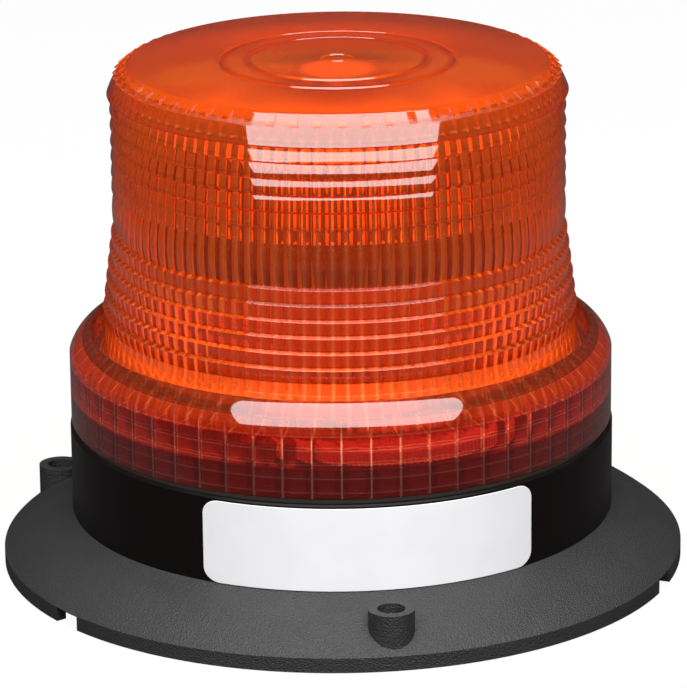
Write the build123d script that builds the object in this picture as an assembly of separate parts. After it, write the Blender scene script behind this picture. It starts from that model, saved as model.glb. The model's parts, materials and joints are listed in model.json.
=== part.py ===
"""A mains-free rotating warning beacon: bolted base, bayonet lens, fixed lamp and driven mirror.

Millimetres. +Z is up, the origin is at the centre of the face that the base stands on, and the
bare label faces -Y. Angles named "bearing" are degrees from -Y towards +X.
"""
from build123d import *
import os
from math import acos, cos, pi, radians, sin, tan

# Mounting flange and base cup
FLANGE_R = 83.0          # outer radius of the mounting flange
RIM_H = 4.0              # height of the upright rim of the flange
WALL = 2.6               # wall of flange and cup
BASE_R = 66.0            # outer radius of the round body
SHOULDER_Z = 34.5        # height of the face that the lens seal lies on
FOOT_R = 67.6            # where the flange's slope meets the fillet of the body
FOOT_Z = 12.3
FOOT_FILLET = 1.1        # height of the bevel between slope and body
UNDER_DROP = 1.8         # underside of the slope starts this far below the cup's floor
RIM_UNDER = 2.4          # height of the underside at the rim
SLOPE_BULGE = 0.6        # how far the slope of the flange swells above a straight line
FLOOR_Z = 9.0            # underside of the cup's floor, which sits on the flange's collar
FLOOR_T = 2.5
NECK_R = 61.0            # outer radius of the neck that enters the lens
NECK_H = 7.5             # height of the neck above the shoulder
NECK_WALL = 2.4
RIB_T = 1.8              # all moulded ribs
RIB_COUNT = 6
RIB_LIFT = 0.8           # ribs and collar stay this far above the ground
EDGE_BREAK = 0.4
PILOT_FLOOR = 0.2        # floor left under the blind screw holes

# Three-bolt mounting
BOLT_PCD = 152.4
BOLT_COUNT = 3
BOLT_BEARING = 8.3       # bearing of the first bolt hole
BOLT_HOLE_R = 3.25
BOLT_BOSS_R = 5.4
BOLT_BOSS_TOP = 12.8
DRAIN_W = 8.0
DRAIN_H = 3.4

# Cable entry in the floor
CABLE_HOLE_R = 6.0
CABLE_R = 3.0
CABLE_Y = -10.0
GROMMET_LIP = 2.0        # lips above and below the floor stand out this far
GROMMET_LIP_T = 1.6
GROMMET_DROP = 3.5

# Lens moulding
LENS_GAP = 1.2           # height of the seal between shoulder and lens
SKIRT_R = 65.7
SKIRT_WALL = 2.4
SKIRT_H = 16.9           # upright part of the skirt
CREST_R = 61.2           # top of the rounded shoulder
CREST_RISE = 5.5         # height of the crest above the upright skirt
GUTTER_OUT_R = 60.4
GUTTER_DEPTH = 6.0
DOME_FOOT_R = 57.7
GUTTER_T = 2.3           # thickness of the gutter's floor
CREST_CORE_W = 1.3       # groove that cores out the rounded shoulder from below
CREST_SKIN = 3.6
BAND_LOW = 82.9          # convex band at lamp height
BAND_HIGH = 93.2
BAND_EDGE_R = 53.7
BAND_BULGE = 0.8
RING_PITCH = 3.85        # ring prisms above the band
LOWER_PITCH = 3.7        # ring prisms below the band
RING_COUNT = 6
RING_RISER = 0.45
UPPER_PEAK_R = 54.5
LOWER_PEAK_R = 54.9
LOWER_STEP = 0.47        # each lower ring stands out this much more
FIRST_TILT = 8.0         # face angle of the ring next to the band
TILT_STEP = 2.8          # each further ring is this much steeper
CROWN_R = 55.06          # widest ring, under the smooth top band
CROWN_BEVEL_R = 52.9
CROWN_BEVEL_Z = 121.0
TOP_R = 50.0
TOP_Z = 123.5
TOP_T = 2.5
TOP_STEPS = (28.0, 21.0) # faint concentric steps of the top
TOP_STEP_H = 0.2
NUB_R = 2.5
NUB_H = 0.3
TOOTH_COUNT = 60         # castellated bevel
TOOTH_SHARE = 0.36
TOOTH_DEPTH = 0.8
DOME_IN_LOW_R = 53.6     # inner radius of the dome at its foot
DOME_IN_TOP_R = 51.0
DOME_FLUTES = 104
DOME_FLUTE_DEPTH = 0.45
SKIRT_FLUTES = 60
SKIRT_FLUTE_DEPTH = 0.4

# Bayonet between neck and lens
LUG_COUNT = 3
LUG_BEARING = 60.0
LENS_LUG_DEG = 22.0
NECK_LUG_DEG = 24.0
LENS_LUG_H = 2.0
LUG_Z_GAP = 0.35
NECK_LUG_H = 2.4
LUG_CLEAR = 0.35
LUG_SEAT = 0.6           # lens lugs start this far above the lens edge
STOP_DEG = 3.0           # upright stop beside each neck lug
STOP_PLAY_DEG = 0.6

# Label
LABEL_FROM = -29.4
LABEL_TO = 42.0
LABEL_LOW = 13.5
LABEL_HIGH = 33.7
LABEL_T = 0.25
LABEL_CORNER = 3.5

# Chassis
PLATE_Z = 38.0
PLATE_T = 1.2
PLATE_CLEAR = 0.6
LEAD_HOLE_R = 5.0        # hole of the plate for the lamp's and motor's leads
LEAD_HOLE_AT = 32.0
CHASSIS_BOSS_R = 4.5
CHASSIS_BOSS_PCR = 53.5  # radius of the circle of chassis screws
CHASSIS_BEARINGS = (60.0, 180.0, 300.0)
SCREW_R = 1.4            # small screws
SCREW_HEAD_R = 2.4
SCREW_HEAD_H = 1.6
SCREW_HOLE_GAP = 0.1
SCREW_BITE = 8.0

# Gear train: turntable 72, idler 12 and 48, motor pinion 12
MODULE = 0.8
TURNTABLE_TEETH = 72
IDLER_SMALL_TEETH = 12
IDLER_BIG_TEETH = 48
PINION_TEETH = 12
PRESSURE = 20.0
ADDENDUM = 0.78          # as a share of the module
DEDENDUM = 1.2
BACKLASH = 0.16
IDLER_BEARING = 16.8
MOTOR_RADIUS = 40.0
GEAR_FACE = 4.0
BIG_GEAR_FACE = 3.0
RUNNING = 0.05           # radial running clearance
PRESSED = 0.01           # radial gap of a pressed or glued fit
END_FLOAT = 0.3          # axial gap beside a turning piece

# Motor
MOTOR_R = 12.2
MOTOR_H = 18.0
MOTOR_CAP_H = 1.8
MOTOR_CAP_R = 11.0
MOTOR_NOSE_R = 3.0
MOTOR_NOSE_H = 1.6
SHAFT_R = 1.0
MOTOR_SCREW_R = 8.2

# Idler
IDLER_PIN_R = 1.5
IDLER_COLLAR_R = 3.2
IDLER_COLLAR_H = 1.9
CLIP_T = 0.6

# Lamp post and turntable
POST_R = 7.0
POST_BORE_R = 5.0
POST_FLANGE_R = 15.0
POST_FLANGE_T = 2.0
POST_STEM_R = 9.0
POST_STEM_H = 3.8
POST_TOP = 62.0
POST_SCREW_PCR = 12.0
WASHER_T = 0.5
BUSH_WALL = 1.5
HUB_WALL = 2.4
HUB_H = 10.5
WEB_T = 2.2
WEB_WINDOWS = 6
WEB_WINDOW_R = 4.6
PILLAR_X = 22.0
PILLAR_Y = 4.0
PILLAR_R = 3.2

# Mirror
MIRROR_Z = 88.0          # height of its axis, the lamp's light centre
FOCAL = 22.0
MIRROR_HALF_W = 41.5
MIRROR_HALF_H = 15.5
MIRROR_T = 1.6
MIRROR_LIP = 0.9         # the upper lip stands this far in front of the mirror's face
LAMP_CLEAR = 1.4

# Lamp holder and lamp
HOLDER_R = 12.25
HOLDER_H = 17.0
SOCKET_DEPTH = 14.0
CAP_R = 7.5
CAP_PROUD = 1.0
CAP_CONTACT_GAP = 1.5
PIN_R = 0.95
PIN_PROUD = 1.0
PIN_Z = 73.0
COLLAR_R = 11.6
COLLAR_H = 4.0
TOWER_SIDES = 8
TOWER_FLAT_R = 10.0
TOWER_H = 16.5
ROOF_T = 1.2             # smaller board on top of the tower
CHIP_W = 3.2
CHIP_H = 2.8
CHIP_T = 0.8
CHIP_ROWS = 4

# Driver board
BOARD_W = 64.0
BOARD_L = 42.0
BOARD_Y = 24.0
BOARD_T = 1.6
STANDOFF_H = 4.0
STANDOFF_R = 3.2
BOARD_HOLE_INSET = 4.0
CAN_R = 5.0
CAN_H = 14.0
CHOKE_R = 8.0
CHOKE_CORE_R = 3.6
CHOKE_H = 7.0
TERMINAL_SIZE = (15.0, 8.0, 9.0)
TRANSISTOR_SIZE = (10.0, 4.4, 15.0)


def spot(bearing, radius, z=0.0):
    """Place on a circle about the axis, turned so that local -Y points outwards."""
    a = radians(bearing)
    return Pos(radius * sin(a), -radius * cos(a), z) * Rot(0, 0, bearing)


def rod(radius, z0, z1):
    """Upright cylinder on the axis."""
    return Pos(0, 0, (z0 + z1) / 2) * Cylinder(radius, z1 - z0)


def ring(r_in, r_out, z0, z1):
    """Upright tube on the axis."""
    return rod(r_out, z0, z1) - rod(r_in, z0, z1)


def block(width, depth, z0, z1):
    """Box centred on the axis between two heights."""
    return Pos(0, 0, (z0 + z1) / 2) * Box(width, depth, z1 - z0)


def turned(*edges):
    """Solid of revolution of a closed chain of edges drawn as (radius, height)."""
    face = make_face(Wire(list(edges)))
    return revolve(Plane.XZ * face, Axis.Z)


def turned_points(*points):
    """Solid of revolution of a closed polygon of (radius, height) points."""
    return revolve(Plane.XZ * make_face(Polyline(*points, close=True)), Axis.Z)


def sector(r_in, r_out, z0, z1, bearing, degrees):
    """Piece of a tube, centred on a bearing."""
    start = bearing - degrees / 2 - 90
    far = 2 * r_out
    angles = [radians(start + degrees * i / 4) for i in range(5)]
    wedge = make_face(Polyline((0, 0), *[(far * cos(a), far * sin(a)) for a in angles], close=True))
    return ring(r_in, r_out, z0, z1) & extrude(Pos(0, 0, z0) * wedge, z1 - z0)


def screw(z_seat, length, head_r=SCREW_HEAD_R, shank_r=SCREW_R):
    """Hexagon-head screw standing on the axis, its head seated at z_seat."""
    head = extrude(Pos(0, 0, z_seat) * RegularPolygon(head_r, 6), SCREW_HEAD_H)
    return head + rod(shank_r, z_seat - length, z_seat)


def fluted(radius, depth, count):
    """Polygon face whose edge runs in and out, count times round."""
    step = 360 / count
    points = []
    for i in range(count):
        for r, turn in ((radius, 0.0), (radius - depth, 0.5)):
            a = radians((i + turn) * step)
            points.append((r * cos(a), r * sin(a)))
    return make_face(Polyline(*points, close=True))


def gear_face(teeth, first_tooth):
    """Spur gear outline whose flanks are chords of the involute, one tooth centred on first_tooth."""
    pitch_r = MODULE * teeth / 2
    base_r = pitch_r * cos(radians(PRESSURE))
    tip_r = pitch_r + ADDENDUM * MODULE
    root_r = pitch_r - DEDENDUM * MODULE
    half = pi / (2 * teeth) - BACKLASH / 4 / pitch_r

    def involute(radius):
        angle = acos(min(1.0, base_r / radius))
        return tan(angle) - angle

    flank = [max(base_r, root_r), tip_r]
    sides = [(root_r, half + involute(pitch_r) - involute(flank[0]))]
    sides += [(r, half + involute(pitch_r) - involute(r)) for r in flank]
    points = []
    for i in range(teeth):
        centre = radians(first_tooth) + 2 * pi * i / teeth
        for r, a in sides:
            points.append((r * cos(centre - a), r * sin(centre - a)))
        for r, a in reversed(sides):
            points.append((r * cos(centre + a), r * sin(centre + a)))
    kept = [p for p, q in zip(points, [points[-1], *points]) if abs(p[0] - q[0]) + abs(p[1] - q[1]) > 1e-6]
    return make_face(Polyline(*kept, close=True))


# Heights that follow from the driving sizes
floor_top = FLOOR_Z + FLOOR_T
neck_top = SHOULDER_Z + NECK_H
neck_in_r = NECK_R - NECK_WALL
base_in_r = BASE_R - WALL
plate_top = PLATE_Z + PLATE_T
plate_r = neck_in_r - PLATE_CLEAR
lens_z = SHOULDER_Z + LENS_GAP
skirt_in_r = SKIRT_R - SKIRT_WALL
skirt_top = lens_z + SKIRT_H
crest_z = skirt_top + CREST_RISE
gutter_z = crest_z - GUTTER_DEPTH
gutter_under = gutter_z - GUTTER_T
post_flange_top = plate_top + POST_FLANGE_T
stem_top = post_flange_top + POST_STEM_H
hub_z = stem_top + WASHER_T
hub_top = hub_z + HUB_H
hub_bore_r = POST_R + RUNNING + BUSH_WALL + PRESSED
hub_r = hub_bore_r + HUB_WALL
table_gear_z = hub_z + 0.5
table_gear_top = table_gear_z + GEAR_FACE
clip_z = hub_top + END_FLOAT
idler_z = plate_top + IDLER_COLLAR_H + END_FLOAT
idler_big_top = idler_z + BIG_GEAR_FACE
idler_top = table_gear_top + 0.5
pinion_z = idler_z - 0.4
pinion_top = idler_big_top + 0.4
idler_distance = MODULE * (TURNTABLE_TEETH + IDLER_SMALL_TEETH) / 2
motor_distance = MODULE * (IDLER_BIG_TEETH + PINION_TEETH) / 2
swing_side = idler_distance**2 + MOTOR_RADIUS**2 - motor_distance**2
swing = acos(swing_side / (2 * idler_distance * MOTOR_RADIUS))
motor_bearing = IDLER_BEARING - swing * 180 / pi
idler_at = spot(IDLER_BEARING, idler_distance).position
motor_at = spot(motor_bearing, MOTOR_RADIUS).position
shelf_top = MIRROR_Z - MIRROR_HALF_H
shelf_z = shelf_top - MIRROR_T
holder_top = POST_TOP + HOLDER_H
socket_floor = holder_top - SOCKET_DEPTH
cap_z = socket_floor + CAP_CONTACT_GAP
cap_top = holder_top + CAP_PROUD
collar_top = cap_top + COLLAR_H
tower_top = collar_top + TOWER_H
board_z = floor_top + STANDOFF_H
board_top = board_z + BOARD_T


def pins_at(place, *others):
    """Copies of a shape at several places, as one compound."""
    shape, *places = (place, *others)
    return Compound(children=[p * shape for p in places])


def mount_flange():
    """Textured flange: collar under the cup, slope, rim, ribs, three bolt bosses and drains."""
    mid = ((FLANGE_R + FOOT_R) / 2 + SLOPE_BULGE / 2, (RIM_H + FOOT_Z) / 2 + SLOPE_BULGE)
    inner_rim = FLANGE_R - WALL
    sleeve_r = BASE_R + PRESSED
    under_z = FLOOR_Z - UNDER_DROP
    flange = turned(
        Line((base_in_r, RIB_LIFT), (base_in_r, FLOOR_Z)),
        Line((base_in_r, FLOOR_Z), (sleeve_r, FLOOR_Z)),
        Line((sleeve_r, FLOOR_Z), (sleeve_r, FOOT_Z + FOOT_FILLET)),
        Line((sleeve_r, FOOT_Z + FOOT_FILLET), (FOOT_R, FOOT_Z)),
        ThreePointArc((FOOT_R, FOOT_Z), mid, (FLANGE_R - EDGE_BREAK, RIM_H)),
        Line((FLANGE_R - EDGE_BREAK, RIM_H), (FLANGE_R, RIM_H - EDGE_BREAK)),
        Line((FLANGE_R, RIM_H - EDGE_BREAK), (FLANGE_R, 0)),
        Line((FLANGE_R, 0), (inner_rim, 0)),
        Line((inner_rim, 0), (inner_rim, RIM_UNDER)),
        Line((inner_rim, RIM_UNDER), (BASE_R, under_z)),
        Line((BASE_R, under_z), (BASE_R, RIB_LIFT)),
        Line((BASE_R, RIB_LIFT), (base_in_r, RIB_LIFT)),
    )
    bite = WALL / 4
    under = turned_points((BASE_R - WALL / 2, 0), (inner_rim + bite, 0), (inner_rim + bite, RIM_UNDER),
                          (BASE_R, under_z + bite), (BASE_R - WALL / 2, under_z + bite))
    rib_length = inner_rim - base_in_r
    rib = block(RIB_T, rib_length, RIB_LIFT, FLOOR_Z)
    for i in range(RIB_COUNT):
        bearing = BOLT_BEARING + 180 / RIB_COUNT + i * 360 / RIB_COUNT
        flange += (spot(bearing, base_in_r + rib_length / 2) * rib) & under
    for i in range(BOLT_COUNT):
        bearing = BOLT_BEARING + i * 360 / BOLT_COUNT
        flange += spot(bearing, BOLT_PCD / 2) * rod(BOLT_BOSS_R, 0, BOLT_BOSS_TOP)
        flange -= spot(bearing, BOLT_PCD / 2) * rod(BOLT_HOLE_R, -1, BOLT_BOSS_TOP + 1)
        drain = block(DRAIN_W, 4 * WALL, -1, DRAIN_H)
        flange -= spot(bearing + 180 / BOLT_COUNT, FLANGE_R - WALL / 2) * drain
    return flange


def base_housing():
    """Black cup: floor, body, shoulder, neck, bosses, stand-offs and bayonet lugs."""
    cup = turned_points(
        (0, FLOOR_Z), (BASE_R, FLOOR_Z), (BASE_R, SHOULDER_Z - EDGE_BREAK), (BASE_R - EDGE_BREAK, SHOULDER_Z),
        (NECK_R, SHOULDER_Z), (NECK_R, neck_top), (neck_in_r, neck_top), (neck_in_r, SHOULDER_Z - WALL),
        (base_in_r, SHOULDER_Z - WALL), (base_in_r, floor_top), (0, floor_top))
    root_z = floor_top - FLOOR_T / 2
    for bearing in CHASSIS_BEARINGS:
        boss = rod(CHASSIS_BOSS_R, root_z, PLATE_Z)
        web_l = base_in_r - CHASSIS_BOSS_PCR + WALL / 2
        web = Pos(0, -web_l / 2, 0) * block(RIB_T, web_l, root_z, SHOULDER_Z - WALL / 2)
        cup += spot(bearing, CHASSIS_BOSS_PCR) * (boss + web)
        cup -= spot(bearing, CHASSIS_BOSS_PCR) * rod(SCREW_R + PRESSED, PLATE_Z - SCREW_BITE, PLATE_Z + 1)
    for x, y in board_holes():
        cup += Pos(x, y) * rod(STANDOFF_R, root_z, board_z)
        cup -= Pos(x, y) * rod(SCREW_R + PRESSED, floor_top + PILOT_FLOOR, board_z + 1)
    lug_out = skirt_in_r - SKIRT_FLUTE_DEPTH - LUG_CLEAR
    lug_in = NECK_R - NECK_WALL / 2
    stop_low = lens_z + LUG_SEAT
    lug_low = stop_low + LENS_LUG_H + LUG_Z_GAP
    lug_top = lug_low + NECK_LUG_H
    for i in range(LUG_COUNT):
        bearing = LUG_BEARING + i * 360 / LUG_COUNT
        stop_bearing = bearing - (LENS_LUG_DEG + STOP_DEG) / 2 - STOP_PLAY_DEG
        cup += sector(lug_in, lug_out, lug_low, lug_top, bearing, NECK_LUG_DEG)
        cup += sector(lug_in, lug_out, stop_low, lug_top, stop_bearing, STOP_DEG)
    return cup - Pos(0, CABLE_Y) * rod(CABLE_HOLE_R, FLOOR_Z - 1, floor_top + 1)


def board_holes():
    """Places of the four screws of the driver board."""
    x = BOARD_W / 2 - BOARD_HOLE_INSET
    y = BOARD_L / 2 - BOARD_HOLE_INSET
    return [(sx * x, BOARD_Y + sy * y) for sx in (-1, 1) for sy in (-1, 1)]


def id_label():
    """Bare adhesive label, curved on the body."""
    width = 2 * BASE_R * sin(radians((LABEL_TO - LABEL_FROM) / 2))
    height = LABEL_HIGH - LABEL_LOW
    centre = (LABEL_TO + LABEL_FROM) / 2
    face = RectangleRounded(width, height, LABEL_CORNER)
    patch = extrude(Plane.XZ * face, BASE_R * 2)
    window = Rot(0, 0, centre) * Pos(0, 0, (LABEL_LOW + LABEL_HIGH) / 2) * patch
    return ring(BASE_R + PRESSED, BASE_R + PRESSED + LABEL_T, LABEL_LOW - 1, LABEL_HIGH + 1) & window


def lens_seal():
    """Flat rubber ring that closes the joint under the lens."""
    return ring(NECK_R + 0.2, SKIRT_R - 0.9, SHOULDER_Z, lens_z)


def lens_outline():
    """Edges of the lens' outer surface, from the axis at its lower edge to the axis on top."""
    edges = [Line((0, lens_z), (SKIRT_R, lens_z)), Line((SKIRT_R, lens_z), (SKIRT_R, skirt_top))]
    bend = ((SKIRT_R + CREST_R) / 2 + 1.15, (skirt_top + crest_z) / 2 + 0.95)
    edges.append(ThreePointArc((SKIRT_R, skirt_top), bend, (CREST_R, crest_z)))
    points = [(CREST_R, crest_z), (GUTTER_OUT_R, crest_z - 0.3), (GUTTER_OUT_R - 0.3, gutter_z),
              (DOME_FOOT_R, gutter_z)]
    lower = []
    for j in range(RING_COUNT):
        top = BAND_LOW - j * LOWER_PITCH - RING_RISER
        peak = LOWER_PEAK_R + j * LOWER_STEP
        run = LOWER_PITCH - RING_RISER
        lower.append((peak, top))
        lower.append((peak - run * tan(radians(FIRST_TILT + j * TILT_STEP / 2)), top - run))
    points += list(reversed(lower))
    points.append((BAND_EDGE_R, BAND_LOW))
    edges += [Line(a, b) for a, b in zip(points, points[1:])]
    band_mid = (BAND_EDGE_R + BAND_BULGE, (BAND_LOW + BAND_HIGH) / 2)
    edges.append(ThreePointArc((BAND_EDGE_R, BAND_LOW), band_mid, (BAND_EDGE_R, BAND_HIGH)))
    points = [(BAND_EDGE_R, BAND_HIGH)]
    for k in range(RING_COUNT):
        low = BAND_HIGH + k * RING_PITCH
        run = RING_PITCH - RING_RISER
        points.append((UPPER_PEAK_R, low + RING_RISER / 2))
        points.append((UPPER_PEAK_R - run * tan(radians(FIRST_TILT + k * TILT_STEP)), low + run))
    points.append((CROWN_R, BAND_HIGH + RING_COUNT * RING_PITCH))
    points.append((CROWN_BEVEL_R, CROWN_BEVEL_Z))
    points.append((TOP_R, TOP_Z))
    level = TOP_Z
    for r in TOP_STEPS:
        points.append((r, level))
        level += TOP_STEP_H
        points.append((r - TOP_STEP_H, level))
    points += [(NUB_R, level), (NUB_R - NUB_H, level + NUB_H), (0, level + NUB_H), (0, lens_z)]
    edges += [Line(a, b) for a, b in zip(points, points[1:])]
    return edges


def lens_dome():
    """Amber lens: ring prisms outside, upright flutes inside, gutter, skirt and bayonet lugs."""
    lens = turned(*lens_outline())
    skirt = extrude(Pos(0, 0, lens_z - 1) * fluted(skirt_in_r, SKIRT_FLUTE_DEPTH, SKIRT_FLUTES),
                    gutter_under - lens_z + 1)
    low = Pos(0, 0, gutter_under - 0.5) * fluted(DOME_IN_LOW_R, DOME_FLUTE_DEPTH, DOME_FLUTES)
    high = Pos(0, 0, TOP_Z - TOP_T) * fluted(DOME_IN_TOP_R, DOME_FLUTE_DEPTH, DOME_FLUTES)
    lens -= skirt
    lens -= loft([low, high], ruled=True)
    core_r = skirt_in_r - SKIRT_FLUTE_DEPTH
    lens -= ring(core_r - CREST_CORE_W, core_r, gutter_under - 1, crest_z - CREST_SKIN)
    tooth_w = 2 * pi * TOP_R / TOOTH_COUNT * TOOTH_SHARE
    cut = turned_points((TOP_R - TOOTH_DEPTH, TOP_Z + 1), (TOP_R - TOOTH_DEPTH, TOP_Z - TOOTH_DEPTH * 0.4),
                        (CROWN_BEVEL_R - TOOTH_DEPTH * 0.3, CROWN_BEVEL_Z),
                        (CROWN_BEVEL_R + 2, CROWN_BEVEL_Z), (CROWN_BEVEL_R + 2, TOP_Z + 1))
    teeth = [spot(i * 360 / TOOTH_COUNT, TOP_R) * block(tooth_w, 8, CROWN_BEVEL_Z - 1, TOP_Z + 1)
             for i in range(TOOTH_COUNT)]
    keep = Compound(children=teeth)
    lens -= cut - keep
    lug_in = NECK_R + LUG_CLEAR
    lug_out = skirt_in_r + SKIRT_WALL / 3
    lug_low = lens_z + LUG_SEAT
    lug = sector(lug_in, lug_out, lug_low, lug_low + LENS_LUG_H, LUG_BEARING, LENS_LUG_DEG)
    for i in range(LUG_COUNT):
        lens += Rot(0, 0, i * 360 / LUG_COUNT) * lug
    return lens


def cable_grommet():
    """Rubber gland that lines the cable hole of the floor."""
    lip_r = CABLE_HOLE_R + GROMMET_LIP
    neck_r = CABLE_HOLE_R - PRESSED
    low = FLOOR_Z - GROMMET_DROP
    top = floor_top + GROMMET_LIP_T
    body = turned_points((CABLE_R, low), (neck_r, low), (lip_r, FLOOR_Z - GROMMET_LIP_T), (lip_r, FLOOR_Z),
                         (neck_r, FLOOR_Z), (neck_r, floor_top), (lip_r, floor_top), (neck_r + 0.5, top),
                         (CABLE_R, top))
    return Pos(0, CABLE_Y) * body


def chassis_plate():
    """Steel plate on the three bosses; it carries motor, idler and lamp post."""
    plate = rod(plate_r, PLATE_Z, plate_top)
    for bearing in CHASSIS_BEARINGS:
        plate -= spot(bearing, CHASSIS_BOSS_PCR) * rod(SCREW_R + SCREW_HOLE_GAP, PLATE_Z - 1, plate_top + 1)
    for bearing in post_screw_bearings():
        plate -= spot(bearing, POST_SCREW_PCR) * rod(SCREW_R + PRESSED, PLATE_Z - 1, plate_top + 1)
    plate -= rod(POST_BORE_R, PLATE_Z - 1, plate_top + 1)
    plate -= Pos(*motor_at) * rod(MOTOR_NOSE_R + SCREW_HOLE_GAP, PLATE_Z - 1, plate_top + 1)
    for place in motor_screw_places():
        plate -= place * rod(SCREW_R + SCREW_HOLE_GAP, PLATE_Z - 1, plate_top + 1)
    plate -= Pos(*idler_at) * rod(IDLER_PIN_R + PRESSED, PLATE_Z - 1, plate_top + 1)
    plate -= spot(180, LEAD_HOLE_AT) * rod(LEAD_HOLE_R, PLATE_Z - 1, plate_top + 1)
    return plate


def post_screw_bearings():
    """Bearings of the three screws of the lamp post, kept clear of the idler."""
    return [IDLER_BEARING + 60 + i * 120 for i in range(3)]


def motor_screw_places():
    """Places of the two screws of the motor, across the line to the idler."""
    toward = idler_at - motor_at
    side = Vector(-toward.Y, toward.X, 0).normalized() * MOTOR_SCREW_R
    return [Pos(*(motor_at + side)), Pos(*(motor_at - side))]


def motor_case():
    """Drawn steel can of the motor, hung under the plate, with its bearing nose."""
    can = rod(MOTOR_R, PLATE_Z - MOTOR_H, PLATE_Z)
    can = chamfer(can.edges().group_by(Axis.Z)[-1], 0.8)
    can += rod(MOTOR_NOSE_R, PLATE_Z - 1, PLATE_Z + MOTOR_NOSE_H)
    can -= rod(SHAFT_R + RUNNING, PLATE_Z - MOTOR_H * 0.6, PLATE_Z + MOTOR_NOSE_H + 1)
    case = Pos(*motor_at) * can
    for place in motor_screw_places():
        case -= place * rod(SCREW_R + PRESSED, PLATE_Z - 3.2, PLATE_Z + 1)
    return case


def motor_end_cap():
    """Plastic end of the motor with its two terminals."""
    low = PLATE_Z - MOTOR_H - MOTOR_CAP_H
    cap = rod(MOTOR_CAP_R, low, low + MOTOR_CAP_H)
    for side in (-1, 1):
        cap += Pos(side * 6, 0) * block(0.8, 2.4, low - 1.6, low + 0.5)
    return Pos(*motor_at) * cap


def motor_shaft():
    """Turning shaft of the motor."""
    return Pos(*motor_at) * rod(SHAFT_R, PLATE_Z - MOTOR_H * 0.6 + END_FLOAT, pinion_top + 0.8)


def motor_pinion():
    """Brass pinion pressed on the shaft, in mesh with the idler's big gear."""
    to_idler = angle_of(idler_at - motor_at)
    outline = gear_face(PINION_TEETH, to_idler + 180 / PINION_TEETH)
    gear = extrude(Pos(0, 0, pinion_z) * outline, pinion_top - pinion_z)
    return Pos(*motor_at) * (gear - rod(SHAFT_R + PRESSED, pinion_z - 1, pinion_top + 1))


def angle_of(vector):
    """Angle of a flat vector from +X, in degrees."""
    return Vector(1, 0, 0).get_signed_angle(Vector(vector.X, vector.Y, 0), Vector(0, 0, 1))


def idler_pin():
    """Steel pin riveted in the plate, with the collar that the idler stands on."""
    pin = rod(IDLER_PIN_R, PLATE_Z, idler_top + END_FLOAT + CLIP_T + 0.6)
    pin += rod(IDLER_COLLAR_R, plate_top, plate_top + IDLER_COLLAR_H)
    pin -= ring(IDLER_PIN_R - 0.3, IDLER_PIN_R + 1, idler_top + END_FLOAT, idler_top + END_FLOAT + CLIP_T)
    return Pos(*idler_at) * pin


def idler_clip():
    """Open spring clip in the groove of the idler pin."""
    low = idler_top + END_FLOAT
    clip = ring(IDLER_PIN_R - 0.3 + PRESSED, IDLER_PIN_R + 1.8, low, low + CLIP_T)
    return Pos(*idler_at) * (clip - Pos(0, -4) * block(2.0, 8, low - 1, low + CLIP_T + 1))


def idler_gear():
    """Moulded double gear: the big one takes the motor's pinion, the small one drives the turntable."""
    to_motor = angle_of(motor_at - idler_at)
    to_axis = angle_of(idler_at * -1)
    big = extrude(Pos(0, 0, idler_z) * gear_face(IDLER_BIG_TEETH, to_motor), BIG_GEAR_FACE)
    small_face = gear_face(IDLER_SMALL_TEETH, to_axis + 180 / IDLER_SMALL_TEETH)
    small = extrude(Pos(0, 0, idler_big_top - 0.2) * small_face, idler_top - idler_big_top + 0.2)
    dish_out = MODULE * IDLER_BIG_TEETH / 2 - 3.2
    dish = ring(IDLER_COLLAR_R + 3.4, dish_out, idler_big_top - 0.9, idler_big_top + 1)
    gear = (big - dish) + small
    for i in range(4):
        gear -= spot(45 + i * 90, MODULE * IDLER_BIG_TEETH / 3.4) * rod(2.2, idler_z - 1, idler_big_top + 1)
    return Pos(*idler_at) * (gear - rod(IDLER_PIN_R + RUNNING, idler_z - 1, idler_top + 1))


def lamp_post():
    """Fixed hollow post that the turntable runs on and the lamp holder stands on."""
    post = rod(POST_FLANGE_R, plate_top, post_flange_top)
    post += rod(POST_STEM_R, post_flange_top, stem_top)
    post += rod(POST_R, stem_top, POST_TOP)
    post -= rod(POST_BORE_R, plate_top - 1, POST_TOP + 1)
    post -= ring(POST_R - 0.8, POST_R + 1, clip_z, clip_z + CLIP_T)
    hole = rod(SCREW_R + SCREW_HOLE_GAP, plate_top - 1, post_flange_top + 1)
    for bearing in post_screw_bearings():
        post -= spot(bearing, POST_SCREW_PCR) * hole
    return post


def thrust_washer():
    """Fibre washer under the turntable's hub."""
    return ring(POST_R + RUNNING, POST_STEM_R + 1.2, stem_top, hub_z)


def retaining_clip():
    """Open spring clip that keeps the turntable on the post."""
    clip = ring(POST_R - 0.8 + PRESSED, POST_R + 2.8, clip_z, clip_z + CLIP_T)
    return clip - Pos(0, -8) * block(6.5, 14, clip_z - 1, clip_z + CLIP_T + 1)


def turntable_bush():
    """Sintered bush pressed in the hub."""
    return ring(POST_R + RUNNING, hub_bore_r - PRESSED, hub_z, hub_top)


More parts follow.
